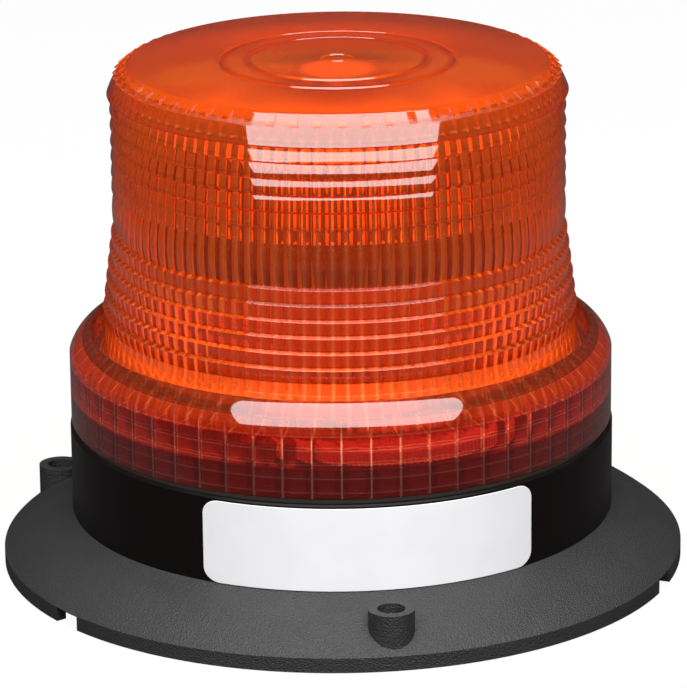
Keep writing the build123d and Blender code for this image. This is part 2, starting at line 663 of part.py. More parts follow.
def turntable_gear():
    """Moulded turntable: toothed rim, ribbed web, hub and the two pillars of the mirror."""
    rim_in = MODULE * TURNTABLE_TEETH / 2 - DEDENDUM * MODULE - 2.0
    gear = extrude(Pos(0, 0, table_gear_z) * gear_face(TURNTABLE_TEETH, IDLER_BEARING - 90), GEAR_FACE)
    gear -= ring(hub_r, rim_in, table_gear_z + WEB_T, table_gear_top + 1)
    gear += rod(hub_r, hub_z, hub_top)
    middle = (hub_r + rim_in) / 2
    spoke = block(RIB_T, rim_in - hub_r + 1, table_gear_z, table_gear_top - 0.6)
    for i in range(WEB_WINDOWS):
        bearing = (i + 0.5) * 360 / WEB_WINDOWS
        gear -= spot(bearing, middle) * rod(WEB_WINDOW_R, table_gear_z - 1, table_gear_z + WEB_T + 0.001)
        gear += spot(i * 360 / WEB_WINDOWS, middle) * spoke
    for side in (-1, 1):
        pillar = rod(PILLAR_R, table_gear_z, shelf_z)
        gusset = Pos(0, 3.4) * block(RIB_T, 7, table_gear_z, shelf_z - 8)
        gear += Pos(side * PILLAR_X, PILLAR_Y) * (pillar + gusset)
        gear -= Pos(side * PILLAR_X, PILLAR_Y) * rod(SCREW_R + PRESSED, shelf_z - SCREW_BITE, shelf_z + 1)
    return gear - rod(hub_bore_r, hub_z - 1, hub_top + 1)


def mirror_bow(vertex_y):
    """Curve across the mirror where it is cut flat, for a bowl with its vertex at vertex_y."""
    ends_y = vertex_y - (MIRROR_HALF_W**2 + MIRROR_HALF_H**2) / (4 * FOCAL)
    apex_y = vertex_y - MIRROR_HALF_H**2 / (4 * FOCAL)
    return ThreePointArc((-MIRROR_HALF_W, ends_y), (0, apex_y), (MIRROR_HALF_W, ends_y))


def reflector():
    """Dished mirror cut to a wide strip, with its lower shelf, upper lip and screw holes."""
    reach = 2 * FOCAL
    half_drop = FOCAL * 0.75
    front = ThreePointArc((0, FOCAL), (reach / 2, half_drop), (reach, 0))
    back = ThreePointArc((0, FOCAL + MIRROR_T), (reach / 2, half_drop + MIRROR_T), (reach, MIRROR_T))
    side_wall = Line((reach, 0), (reach, MIRROR_T))
    face = make_face(Wire([front, side_wall, back, Line((0, FOCAL + MIRROR_T), (0, FOCAL))]))
    bowl = Pos(0, 0, MIRROR_Z) * revolve(face, Axis.Y)
    mirror = bowl & (Pos(0, 0, MIRROR_Z) * Box(2 * MIRROR_HALF_W, 6 * FOCAL, 2 * MIRROR_HALF_H))
    outer = mirror_bow(FOCAL + MIRROR_T)
    inner = mirror_bow(FOCAL - MIRROR_LIP)
    plan = make_face(Wire([outer, Line(outer @ 1, outer @ 0)]))
    shelf = extrude(Pos(0, 0, shelf_z) * plan, MIRROR_T)
    mirror += shelf - rod(HOLDER_R + LAMP_CLEAR, shelf_z - 1, shelf_top + 1)
    band = make_face(Wire([outer, Line(outer @ 1, inner @ 1), inner, Line(inner @ 0, outer @ 0)]))
    mirror += extrude(Pos(0, 0, MIRROR_Z + MIRROR_HALF_H) * band, MIRROR_T)
    for side in (-1, 1):
        mirror -= Pos(side * PILLAR_X, PILLAR_Y) * rod(SCREW_R + SCREW_HOLE_GAP, shelf_z - 1, shelf_top + 1)
    return mirror


def lamp_holder():
    """Bayonet lamp holder with its spigot in the post and its two hooked slots."""
    body = rod(HOLDER_R, POST_TOP, holder_top)
    body = chamfer(body.edges().group_by(Axis.Z)[-1], 0.8)
    body += rod(POST_BORE_R - RUNNING, POST_TOP - 5, POST_TOP)
    body -= rod(CAP_R + 0.1, socket_floor, holder_top + 1)
    slot_r = CAP_R + PIN_PROUD + 0.25
    width = 2 * PIN_R + 0.5
    for side in (0, 180):
        body -= spot(90 + side, slot_r / 2) * block(width, slot_r, PIN_Z - PIN_R - 0.2, holder_top + 1)
        body -= sector(CAP_R - 1, slot_r, PIN_Z - PIN_R - 0.2, PIN_Z + PIN_R + 0.2, 90 + side - 20, 60)
    return body


def lamp_contacts():
    """Two sprung contacts in the socket's floor."""
    return pins_at(rod(1.3, socket_floor, cap_z), Pos(-3.2, 0), Pos(3.2, 0))


def lamp_cap():
    """Metal cap of the lamp with its two bayonet pins."""
    cap = rod(CAP_R, cap_z, cap_top)
    cap = chamfer(cap.edges().group_by(Axis.Z)[0], 0.8)
    pin = Rot(0, 90, 0) * Cylinder(PIN_R, 2 * (CAP_R + PIN_PROUD))
    return cap + Rot(0, 0, -42) * Pos(0, 0, PIN_Z) * pin


def lamp_collar():
    """Moulded collar between cap and light tower."""
    return turned_points((0, cap_top), (CAP_R + 0.8, cap_top), (COLLAR_R, cap_top + 2.0),
                         (COLLAR_R, collar_top), (0, collar_top))


def led_tower():
    """Eight-sided tower of circuit boards that carries the light chips."""
    corner_r = TOWER_FLAT_R / cos(pi / TOWER_SIDES)
    turn = 180 / TOWER_SIDES
    prism = extrude(Pos(0, 0, collar_top) * RegularPolygon(corner_r, TOWER_SIDES, rotation=turn), TOWER_H)
    roof = RegularPolygon(corner_r - ROOF_T, TOWER_SIDES, rotation=turn)
    return prism + extrude(Pos(0, 0, tower_top) * roof, ROOF_T)


def led_chips():
    """Light chips in upright columns on the tower, and four on its roof."""
    chips = []
    pitch = TOWER_H / CHIP_ROWS
    for side in range(TOWER_SIDES):
        for row in range(CHIP_ROWS):
            z = collar_top + (row + 0.5) * pitch
            place = spot(side * 360 / TOWER_SIDES, TOWER_FLAT_R + CHIP_T / 2, z)
            chips.append(place * Box(CHIP_W, CHIP_T, CHIP_H))
    for i in range(4):
        chips.append(spot(45 + i * 90, 4.5, tower_top + ROOF_T + CHIP_T / 2) * Box(CHIP_W, CHIP_H, CHIP_T))
    return Compound(children=chips)


def driver_board():
    """Circuit board on four stand-offs of the floor."""
    board = Pos(0, BOARD_Y) * block(BOARD_W, BOARD_L, board_z, board_top)
    board = chamfer(board.edges().filter_by(Axis.Z), 2)
    for x, y in board_holes():
        board -= Pos(x, y) * rod(SCREW_R + SCREW_HOLE_GAP, board_z - 1, board_top + 1)
    return board


def board_parts():
    """Taller parts of the driver board, by node name."""
    w, d, h = TERMINAL_SIZE
    terminal = block(w, d, board_top, board_top + h)
    for x in (-w / 4, w / 4):
        terminal -= Pos(x, 0) * rod(1.8, board_top + h - 1.6, board_top + h + 1)
        terminal -= Pos(x, -d / 2, board_top + 3) * Box(3.4, 4, 3)
    tw, td, th = TRANSISTOR_SIZE
    transistor = block(tw, td, board_top, board_top + th * 0.6)
    transistor += Pos(0, td / 2 - 0.65) * block(tw, 1.3, board_top, board_top + th)
    transistor -= Pos(0, td / 2, board_top + th * 0.8) * (Rot(90, 0, 0) * Cylinder(1.8, 6))
    can = chamfer(rod(CAN_R, board_top, board_top + CAN_H).edges().group_by(Axis.Z)[-1], 0.6)
    choke = ring(CHOKE_CORE_R, CHOKE_R, board_top, board_top + CHOKE_H)
    choke = chamfer(choke.edges().group_by(Axis.Z)[-1], 1.2)
    return {
        "terminal_block": Pos(-12, BOARD_Y - BOARD_L / 2 + 5.5) * terminal,
        "board_transistor": Pos(0, BOARD_Y + 15.5) * transistor,
        "board_capacitors": pins_at(can, Pos(15, BOARD_Y - 10), Pos(15, BOARD_Y + 3)),
        "board_choke": Pos(-14, BOARD_Y + 3) * choke,
    }


def screw_sets():
    """Groups of like screws, by node name."""
    chassis = screw(plate_top, PLATE_T + SCREW_BITE - 1)
    post = screw(post_flange_top, POST_FLANGE_T + PLATE_T + 0.6)
    motor = screw(plate_top, PLATE_T + 2.8)
    mirror = screw(shelf_top, MIRROR_T + SCREW_BITE - 1)
    board = screw(board_top, BOARD_T + STANDOFF_H - 0.6)
    sides = (-1, 1)
    return {
        "chassis_screws": pins_at(chassis, *[spot(b, CHASSIS_BOSS_PCR) for b in CHASSIS_BEARINGS]),
        "post_screws": pins_at(post, *[spot(b, POST_SCREW_PCR) for b in post_screw_bearings()]),
        "motor_screws": pins_at(motor, *motor_screw_places()),
        "reflector_screws": pins_at(mirror, *[Pos(s * PILLAR_X, PILLAR_Y) for s in sides]),
        "board_screws": pins_at(board, *[Pos(x, y) for x, y in board_holes()]),
    }


def parts():
    """Every piece of the beacon, by node name."""
    made = {f.__name__: f() for f in (
        mount_flange, base_housing, id_label, lens_seal, lens_dome, cable_grommet, chassis_plate, motor_case,
        motor_end_cap, motor_shaft, motor_pinion, idler_pin, idler_clip, idler_gear, lamp_post, thrust_washer,
        retaining_clip, turntable_bush, turntable_gear, reflector, lamp_holder, lamp_contacts, lamp_cap,
        lamp_collar, led_tower, led_chips, driver_board)}
    made.update(board_parts())
    made.update(screw_sets())
    return made


os.makedirs("parts", exist_ok=True)
for node, shape in parts().items():
    export_step(shape, f"parts/{node}.step")
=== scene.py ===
"""Looks of a bolt-down rotating beacon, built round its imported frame.

+Z up, the bare label faces -Y. The lens' pattern and moulding and the broken edges are given in
millimetres and become metres where they are used. The studio and the materials hold metres.
"""
import json
import logging
import math
from dataclasses import dataclass
from enum import Enum

import bmesh
import bpy
from mathutils import Matrix, Vector

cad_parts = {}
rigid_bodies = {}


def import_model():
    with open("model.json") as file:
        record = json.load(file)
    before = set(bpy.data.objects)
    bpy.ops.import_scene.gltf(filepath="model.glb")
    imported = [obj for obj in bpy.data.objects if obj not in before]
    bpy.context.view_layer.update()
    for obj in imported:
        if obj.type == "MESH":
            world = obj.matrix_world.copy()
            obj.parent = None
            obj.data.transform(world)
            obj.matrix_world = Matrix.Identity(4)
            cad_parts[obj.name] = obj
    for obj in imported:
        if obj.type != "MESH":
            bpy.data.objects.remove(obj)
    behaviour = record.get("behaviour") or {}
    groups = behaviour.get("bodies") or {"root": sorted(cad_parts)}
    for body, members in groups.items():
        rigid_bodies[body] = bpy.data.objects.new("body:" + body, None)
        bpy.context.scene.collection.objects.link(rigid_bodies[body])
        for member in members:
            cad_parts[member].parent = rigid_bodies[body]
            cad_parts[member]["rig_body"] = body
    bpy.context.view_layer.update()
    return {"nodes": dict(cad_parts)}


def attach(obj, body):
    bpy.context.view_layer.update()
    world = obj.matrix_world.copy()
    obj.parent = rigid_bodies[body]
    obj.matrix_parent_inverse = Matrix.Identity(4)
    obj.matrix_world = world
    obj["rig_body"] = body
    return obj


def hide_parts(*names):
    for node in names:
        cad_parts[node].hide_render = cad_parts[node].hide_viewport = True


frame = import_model()
LOG = logging.getLogger("beacon")

MM = 0.001
TURN = 2 * math.pi
Point = tuple[float, float]
Colour = tuple[float, float, float]
Curve = tuple[Point, ...]
Span = tuple[float, float]
Node = bpy.types.Node
Socket = bpy.types.NodeSocket
Mesh = bmesh.types.BMesh


def arc(start: Point, middle: Point, end: Point, count: int) -> list[Point]:
    """Points on the circle through three points, both ends included.

    Args:
        start: first point as (radius, height).
        middle: a point on the way.
        end: last point.
        count: number of equal steps.

    Returns:
        The points in order.
    """
    (ax, ay), (bx, by), (cx, cy) = start, middle, end
    d = 2 * (ax * (by - cy) + bx * (cy - ay) + cx * (ay - by))
    sa, sb, sc = ax * ax + ay * ay, bx * bx + by * by, cx * cx + cy * cy
    ux = (sa * (by - cy) + sb * (cy - ay) + sc * (ay - by)) / d
    uy = (sa * (cx - bx) + sb * (ax - cx) + sc * (bx - ax)) / d
    r = math.hypot(ax - ux, ay - uy)
    t0, tm, t1 = (math.atan2(y - uy, x - ux) for x, y in (start, middle, end))
    span = (t1 - t0) % TURN
    if (tm - t0) % TURN > span:
        span -= TURN
    return [(ux + r * math.cos(t0 + span * i / count), uy + r * math.sin(t0 + span * i / count))
            for i in range(count + 1)]


def bow(radius: float, z: float, offsets: Curve, count: int) -> list[Point]:
    """Points on the circle through three points that are set off from a corner.

    Args:
        radius: the corner's radius.
        z: its height.
        offsets: the three points, measured from the corner.
        count: number of equal steps.

    Returns:
        The points in order.
    """
    start, middle, end = ((radius + out, z + up) for out, up in offsets)
    return arc(start, middle, end, count)


def lathe(mesh: Mesh, outline: list[Point], steps: int) -> None:
    """Spin an outline round the axis.

    Args:
        mesh: the mesh that receives the surface.
        outline: (radius, height) points in millimetres.
        steps: number of divisions of the full turn.
    """
    verts = [mesh.verts.new((r * MM, 0.0, z * MM)) for r, z in outline]
    edges = [mesh.edges.new(pair) for pair in zip(verts, verts[1:])]
    bmesh.ops.spin(mesh, geom=verts + edges, cent=(0, 0, 0), axis=(0, 0, 1), dvec=(0, 0, 0),
                   angle=TURN, steps=steps, use_merge=True, use_duplicate=False)
    bmesh.ops.remove_doubles(mesh, verts=mesh.verts[:], dist=MM * 0.002)


def finish_mesh(mesh: Mesh, name: str, sharp_degrees: float = 32.0) -> bpy.types.Object:
    """Turn a bmesh into a smooth-shaded object with crisp corners.

    Args:
        mesh: the finished bmesh, freed here.
        name: name of the piece.
        sharp_degrees: corners steeper than this stay crisp.

    Returns:
        The new object, linked to the scene.
    """
    data = bpy.data.meshes.new(name)
    for face in mesh.faces:
        face.smooth = True
    mesh.to_mesh(data)
    mesh.free()
    data.set_sharp_from_angle(angle=math.radians(sharp_degrees))
    obj = bpy.data.objects.new(name, data)
    bpy.context.scene.collection.objects.link(obj)
    return obj


def put(obj: bpy.types.Object, body: str, material: bpy.types.Material, node: str) -> None:
    """Dress a piece, seat it on its body and hide the CAD node that it replaces.

    Args:
        obj: the piece.
        body: CAD body that carries it.
        material: its finish.
        node: CAD node that it replaces.
    """
    obj.data.materials.append(material)
    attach(obj, body)
    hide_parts(node)
    LOG.info("%s rides on %s with %d faces", obj.name, body, len(obj.data.polygons))


class Tree:
    """A shader node tree while it is being wired."""

    def __init__(self, tree: bpy.types.NodeTree) -> None:
        """Start wiring in a fresh tree."""
        self.tree = tree

    def add(self, kind: str, inputs: dict | None = None, **settings: object) -> Node:
        """Add a node.

        Args:
            kind: Blender's node type.
            inputs: values or sockets by input name or index.
            settings: attributes of the node.

        Returns:
            The node.
        """
        node = self.tree.nodes.new(kind)
        for key, value in settings.items():
            setattr(node, key, value)
        for key, value in (inputs or {}).items():
            if isinstance(value, Socket):
                self.join(value, node.inputs[key])
            else:
                node.inputs[key].default_value = value
        return node

    def math(self, operation: str, a: object, b: object = 0.0) -> Socket:
        """Return the result of a math node."""
        return self.add("ShaderNodeMath", {0: a, 1: b}, operation=operation).outputs[0]

    def mix(self, share: object, low: object, high: object) -> Socket:
        """Blend two colours by a mask.

        Args:
            share: mask, 0 for the first colour and 1 for the second.
            low: first colour.
            high: second colour.

        Returns:
            The blended colour.
        """
        low, high = (end if isinstance(end, Socket) else (*end, 1.0) for end in (low, high))
        return self.add("ShaderNodeMix", {0: share, 6: low, 7: high}, data_type="RGBA").outputs[2]

    def ramp(self, value: object, low: object, high: object) -> Socket:
        """Stretch the range low to high over 0 to 1, clamped."""
        return self.add("ShaderNodeMapRange", {0: value, 1: low, 2: high}).outputs[0]

    def join(self, value: Socket, target: Socket) -> None:
        """Link an output to an input."""
        self.tree.links.new(value, target)

    def place(self) -> Socket:
        """Return the Object coordinates of the point shaded."""
        return self.add("ShaderNodeTexCoord").outputs["Object"]

    def noise(self, scale: object, detail: float = 3.0) -> Socket:
        """Return a noise of this scale and this many octaves."""
        inputs = {"Vector": self.place(), "Scale": scale, "Detail": detail, "Roughness": 0.5}
        return self.add("ShaderNodeTexNoise", inputs).outputs["Fac"]

    def away(self, value: object, centre: float) -> Socket:
        """Return how far a value lies from a centre."""
        return self.math("ABSOLUTE", self.math("SUBTRACT", value, centre))

    def beat(self, value: object, pitch: float) -> Socket:
        """Return how far a repeating value lies from the middle of its pitch, as a share of it."""
        return self.away(self.math("FRACT", self.math("DIVIDE", value, pitch)), 0.5)

    def bump(self, shader: Node, height: object, strength: float, distance: float) -> None:
        """Wire a height into the shader's normal."""
        node = self.add("ShaderNodeBump", {"Height": height, "Strength": strength, "Distance": distance})
        self.join(node.outputs["Normal"], shader.inputs["Normal"])


def shader_group(name: str, inputs: dict[str, float], *outputs: str) -> tuple[Tree, Node, Node]:
    """Open a new shader node group.

    Args:
        name: name of the group.
        inputs: its float inputs with their defaults.
        outputs: names of its float outputs.

    Returns:
        Its wiring helper, its input node and its output node.
    """
    group = bpy.data.node_groups.new(name, "ShaderNodeTree")
    for key, value in inputs.items():
        socket = group.interface.new_socket(key, in_out="INPUT", socket_type="NodeSocketFloat")
        socket.default_value = value
    for key in outputs:
        group.interface.new_socket(key, in_out="OUTPUT", socket_type="NodeSocketFloat")
    tree = Tree(group)
    return tree, tree.add("NodeGroupInput"), tree.add("NodeGroupOutput")


class Effects:
    """Shader groups that several finishes share."""

    def __init__(self) -> None:
        """Build each group once."""
        self.grain = self._grain()
        self.wear = self._wear()
        self.dust = self._dust()

    @staticmethod
    def _grain() -> bpy.types.NodeTree:
        """Fine texture of a moulding tool: a height for bump and a value for roughness.

        Returns:
            The group.
        """
        tree, given, out = shader_group("MouldGrain", {"Scale": 2500.0}, "Height", "Blotch")
        scale = given.outputs["Scale"]
        fine = tree.noise(scale, 2.0)
        broad = tree.noise(tree.math("MULTIPLY", scale, 0.04), 4.0)
        tree.join(fine, out.inputs["Height"])
        tree.join(broad, out.inputs["Blotch"])
        return tree.tree

    @staticmethod
    def _wear() -> bpy.types.NodeTree:
        """Mask of edges that handling has polished, broken up by noise.

        Returns:
            The group.
        """
        tree, given, out = shader_group("EdgeWear", {"Sharpness": 0.53, "Breakup": 300.0}, "Mask")
        point = tree.add("ShaderNodeNewGeometry").outputs["Pointiness"]
        sharp = given.outputs["Sharpness"]
        edge = tree.ramp(point, sharp, tree.math("ADD", sharp, 0.06))
        noise = tree.noise(given.outputs["Breakup"], 4.0)
        mask = tree.math("MULTIPLY", edge, tree.ramp(noise, 0.35, 0.65))
        tree.join(mask, out.inputs["Mask"])
        return tree.tree

    @staticmethod
    def _dust() -> bpy.types.NodeTree:
        """Mask of faint dust on faces that look up.

        Returns:
            The group.
        """
        tree, given, out = shader_group("SettledDust", {"Scale": 120.0, "Amount": 0.3}, "Mask")
        normal = tree.add("ShaderNodeTexCoord").outputs["Normal"]
        up = tree.add("ShaderNodeSeparateXYZ", {0: normal}).outputs["Z"]
        noise = tree.noise(given.outputs["Scale"], 6.0)
        mask = tree.math("MULTIPLY", tree.ramp(up, 0.2, 1.0), tree.ramp(noise, 0.4, 0.8))
        tree.join(tree.math("MULTIPLY", mask, given.outputs["Amount"]), out.inputs["Mask"])
        return tree.tree


@dataclass(frozen=True)
class Finish:
    """One surface finish, made into a Blender material once.

    Attributes:
        name: name of the material.
        colour: base colour, linear.
        roughness: mean roughness.
    """

    name: str
    colour: Colour
    roughness: float = 0.5

    def material(self, effects: Effects) -> bpy.types.Material:
        """Build the material on first use.

        Args:
            effects: the shared shader groups.

        Returns:
            The material.
        """
        known = bpy.data.materials.get(self.name)
        if known:
            return known
        made = bpy.data.materials.new(self.name)
        made.use_nodes = True
        tree = Tree(made.node_tree)
        shader = made.node_tree.nodes["Principled BSDF"]
        shader.inputs["Base Color"].default_value = (*self.colour, 1.0)
        shader.inputs["Roughness"].default_value = self.roughness
        self.wire(tree, shader, effects)
        return made

    def wire(self, tree: Tree, shader: Node, effects: Effects) -> None:
        """Wire what this finish adds to a plain surface.

        Args:
            tree: the material's wiring.
            shader: its shader.
            effects: the shared shader groups.
        """

    def use(self, tree: Tree, group: bpy.types.NodeTree, **values: float) -> Node:
        """Place a shared group with this finish's own values.

        Args:
            tree: the material's wiring.
            group: the shared group.
            values: values of the group's inputs by name.

        Returns:
            The group's node.
        """
        node = tree.add("ShaderNodeGroup", node_tree=group)
        for key, value in values.items():
            node.inputs[key].default_value = value
        return node


@dataclass(frozen=True)
class MouldedPlastic(Finish):
    """Plastic with the tool's grain, a faint dust and rubbed edges.

    Attributes:
        grain: scale of the tool's grain.
        depth: strength of its bump.
        dust: share of dust on faces that look up.
        specular: strength of its reflections.
        wear: how far rubbed edges lighten.
        dust_colour: colour of the dust.
    """

    grain: float = 2500.0
    depth: float = 0.05
    dust: float = 0.12
    specular: float = 0.5
    wear: float = 0.25
    dust_colour: Colour = (0.12, 0.118, 0.112)

    def wire(self, tree: Tree, shader: Node, effects: Effects) -> None:
        """Wire grain into bump and roughness, dust and wear into colour.

        Args:
            tree: the material's wiring.
            shader: its shader.
            effects: the shared shader groups.
        """
        grain = self.use(tree, effects.grain, Scale=self.grain)
        dust = self.use(tree, effects.dust, Amount=self.dust)
        wear = self.use(tree, effects.wear)
        shader.inputs["Specular IOR Level"].default_value = self.specular
        light = tuple(min(1.0, c * 2 + 0.01) for c in self.colour)
        worn = tree.mix(tree.math("MULTIPLY", wear.outputs["Mask"], self.wear), self.colour, light)
        dusty = tree.mix(dust.outputs["Mask"], worn, self.dust_colour)
        tree.join(dusty, shader.inputs["Base Color"])
        rough = tree.math("ADD", self.roughness - 0.06, tree.math("MULTIPLY", grain.outputs["Blotch"], 0.12))
        tree.join(rough, shader.inputs["Roughness"])
        tree.bump(shader, grain.outputs["Height"], self.depth, 0.0004)


@dataclass(frozen=True)
class PlatedMetal(Finish):
    """Plated or bright metal with fine streaks.

    Attributes:
        streak: scale of the streaks.
        depth: strength of their bump.
        tint: how far patches darken.
        metal: share that shines as bare metal.
    """

    streak: float = 900.0
    depth: float = 0.04
    tint: float = 0.08
    metal: float = 1.0

    def wire(self, tree: Tree, shader: Node, effects: Effects) -> None:
        """Wire streaks into roughness and a slow change of colour.

        Args:
            tree: the material's wiring.
            shader: its shader.
            effects: the shared shader groups.
        """
        shader.inputs["Metallic"].default_value = self.metal
        streaks = tree.noise(self.streak)
        patches = tree.noise(60.0)
        dark = tuple(c * (1 - self.tint * 2) for c in self.colour)
        mottled = tree.mix(tree.ramp(patches, 0.3, 0.75), dark, self.colour)
        tree.join(mottled, shader.inputs["Base Color"])
        rough = tree.math("ADD", self.roughness, tree.math("MULTIPLY", streaks, 0.1))
        tree.join(rough, shader.inputs["Roughness"])
        tree.bump(shader, streaks, self.depth, 0.0002)


@dataclass(frozen=True)
class LensPattern:
    """Rings and flutes of the lens, for its shape and its colouring alike.

    Attributes:
        band_low: lower edge of the plain band between the rings.
        band_high: its upper edge.
        rings: number of ring prisms above the band, and below it.
        pitch: pitch of the rings above.
        lower_pitch: pitch of the rings below.
        flutes: number of flutes inside the dome.
        skirt_flutes: number of flutes inside the skirt.
    """

    band_low: float = 82.9
    band_high: float = 93.2
    rings: int = 6
    pitch: float = 3.85
    lower_pitch: float = 3.7
    flutes: int = 104
    skirt_flutes: int = 60

    def stacks(self) -> list[tuple[float, float, float, float]]:
        """List the rings above the band and those below it.

        Returns:
            For each, a riser's height, the pitch, and the heights between which its risers lie.
        """
        top = self.band_high + self.rings * self.pitch + 0.5
        bottom = self.band_low - self.rings * self.lower_pitch - 0.2
        return [(self.band_high, self.pitch, self.band_high - 0.1, top),
                (self.band_low, self.lower_pitch, bottom, self.band_low + 0.1)]


@dataclass(frozen=True)
class ClearLens(Finish):
    """Clear coloured moulding that lets light in and tints it.

    The mask of a repeated line starts and is full at two distances from the middle of its pitch,
    as shares of that pitch.

    Attributes:
        ior: index of refraction.
        clarity: share of light that passes straight, the rest is haze.
        specular: strength of its surface reflections.
        gloss: weight of the polished skin over it.
        pattern: the rings and flutes that it follows.
        thin: colour of the thinner top.
        deep: colour of the skirt, which is looked through edgeways.
        ridge_glint: colour of the painted light glints on the thin upright ridges of the skirt.
        ridge_glint_mask: their mask.
        rung: pitch of the faint painted light level lines that run across them.
        rung_glint_mask: their mask.
        rung_glint_share: their strength beside the upright lines.
        riser_shade_mask: mask of the painted shade lines at the rings' risers.
        edge: how much this painted shade darkens.
        valley_shade_mask: mask of the painted shade in the valleys between the inner flutes.
        cell: how much this painted shade darkens.
        shadow: share of the colour that the full painted shade leaves.
        light: colour of the painted light on the crests of the inner flutes.
        crest_light_mask: its mask.
        crest: how much it lightens.
        crest_light_low: how much more low down.
        low_part: heights at which that starts and is full.
        flow: share of the colour that the slow noise leaves.
        step_shade: colour of the painted shade lines near the two steps seen in the top.
        step_shade_radii: their radii.
        step_shade_mask: distances from them at which a line starts and is full.
        step_shade_share: their strength.
        skirt_end: heights at which the dome's colour starts and is full.
        roof_start: heights at which the top's colour starts and is full.
        frost: added roughness of the top's inner face.
        frost_low: heights at which it starts and is full.
        frost_high: heights at which it ends and is full.
        shade: tint of light that falls through one surface.
    """

    ior: float = 1.58
    clarity: float = 0.92
    specular: float = 1.0
    gloss: float = 0.7
    pattern: LensPattern = LensPattern()
    thin: Colour = (1.0, 0.15, 0.01)
    deep: Colour = (0.42, 0.018, 0.011)
    ridge_glint: Colour = (0.9, 0.4, 0.3)
    ridge_glint_mask: Span = (0.455, 0.49)
    rung: float = 0.0034
    rung_glint_mask: Span = (0.43, 0.49)
    rung_glint_share: float = 0.55
    riser_shade_mask: Span = (0.4, 0.45)
    edge: float = 0.45
    valley_shade_mask: Span = (0.2, 0.42)
    cell: float = 0.08
    shadow: float = 0.3
    light: Colour = (1.0, 0.33, 0.12)
    crest_light_mask: Span = (0.16, 0.06)
    crest: float = 0.25
    crest_light_low: float = 0.35
    low_part: Span = (0.1, 0.091)
    flow: float = 0.94
    step_shade: Colour = (0.72, 0.03, 0.005)
    step_shade_radii: Span = (0.0273, 0.0217)
    step_shade_mask: Span = (0.0013, 0.0005)
    step_shade_share: float = 0.6
    skirt_end: Span = (0.0505, 0.0535)
    roof_start: Span = (0.1185, 0.1215)
    frost: float = 0.35
    frost_low: Span = (0.1202, 0.1208)
    frost_high: Span = (0.1218, 0.1212)
    shade: Colour = (0.98, 0.95, 0.85)

    def rings(self, tree: Tree, height: Socket) -> Socket:
        """Mask the painted shade lines at the thin risers between the ring prisms.

        Args:
            tree: the material's wiring.
            height: the shaded point's height.

        Returns:
            The mask.
        """
        masks = []
        for start, pitch, low, high in self.pattern.stacks():
            # Painted shade: a dark line at each ring's riser, where the ring above overhangs.
            beat = tree.beat(tree.math("SUBTRACT", height, start * MM), pitch * MM)
            line = tree.ramp(beat, *self.riser_shade_mask)
            above = tree.math("GREATER_THAN", height, low * MM)
            under = tree.math("LESS_THAN", height, high * MM)
            masks.append(tree.math("MULTIPLY", line, tree.math("MULTIPLY", above, under)))
        return tree.math("ADD", masks[0], masks[1])

    def skirt(self, tree: Tree, height: Socket,
              turn: Socket) -> Socket:
        """Colour the skirt with painted light glint lines on its thin upright ridges and faint level lines.

        Args:
            tree: the material's wiring.
            height: the shaded point's height.
            turn: its angle about the axis.

        Returns:
            The colour.
        """
        # Painted light: pale glint lines on the skirt's flute ridges and fainter level lines across them,
        # standing in for light that the flutes let through.
        line = tree.ramp(tree.beat(turn, TURN / self.pattern.skirt_flutes), *self.ridge_glint_mask)
        rung = tree.ramp(tree.beat(height, self.rung), *self.rung_glint_mask)
        rung_glint = tree.math("MULTIPLY", rung, self.rung_glint_share)
        return tree.mix(tree.math("MAXIMUM", line, rung_glint), self.deep, self.ridge_glint)

    def dome(self, tree: Tree, height: Socket, turn: Socket,
             flow: Socket) -> Socket:
        """Colour the dome: painted shade on the risers and flute valleys, painted light on the flute crests.

        Args:
            tree: the material's wiring.
            height: the shaded point's height.
            turn: its angle about the axis.
            flow: slow noise of the moulding's flow.

        Returns:
            The colour.
        """
        wall = tree.mix(tree.ramp(flow, 0.35, 0.7), self.colour, tuple(c * self.flow for c in self.colour))
        flute = tree.beat(turn, TURN / self.pattern.flutes)
        # Painted shade: dark lines at the ring risers and in the flute valleys.
        dark = tree.math("MAXIMUM", tree.math("MULTIPLY", self.rings(tree, height), self.edge),
                         tree.math("MULTIPLY", tree.ramp(flute, *self.valley_shade_mask), self.cell))
        wall = tree.mix(dark, wall, tuple(c * self.shadow for c in self.colour))
        # Painted light: lighter flute crests, stronger low down to lift a dark band inside the dome.
        low = tree.math("MULTIPLY", tree.ramp(height, *self.low_part), self.crest_light_low)
        crest = tree.math("MULTIPLY", tree.ramp(flute, *self.crest_light_mask), tree.math("ADD", self.crest, low))
        return tree.mix(crest, wall, self.light)

    def roof(self, tree: Tree, across: Node) -> Socket:
        """Colour the top with painted shade lines near its two steps.

        Args:
            tree: the material's wiring.
            across: the coordinates of the point shaded.

        Returns:
            The colour.
        """
        squares = [tree.math("MULTIPLY", across.outputs[axis], across.outputs[axis]) for axis in "XY"]
        radius = tree.math("SQRT", tree.math("ADD", squares[0], squares[1]))
        # Painted shade: two darker lines near the top's steps.
        bands = [tree.ramp(tree.away(radius, middle), *self.step_shade_mask) for middle in self.step_shade_radii]
        step_shade = tree.math("MULTIPLY", tree.math("MAXIMUM", bands[0], bands[1]), self.step_shade_share)
        return tree.mix(step_shade, self.thin, self.step_shade)

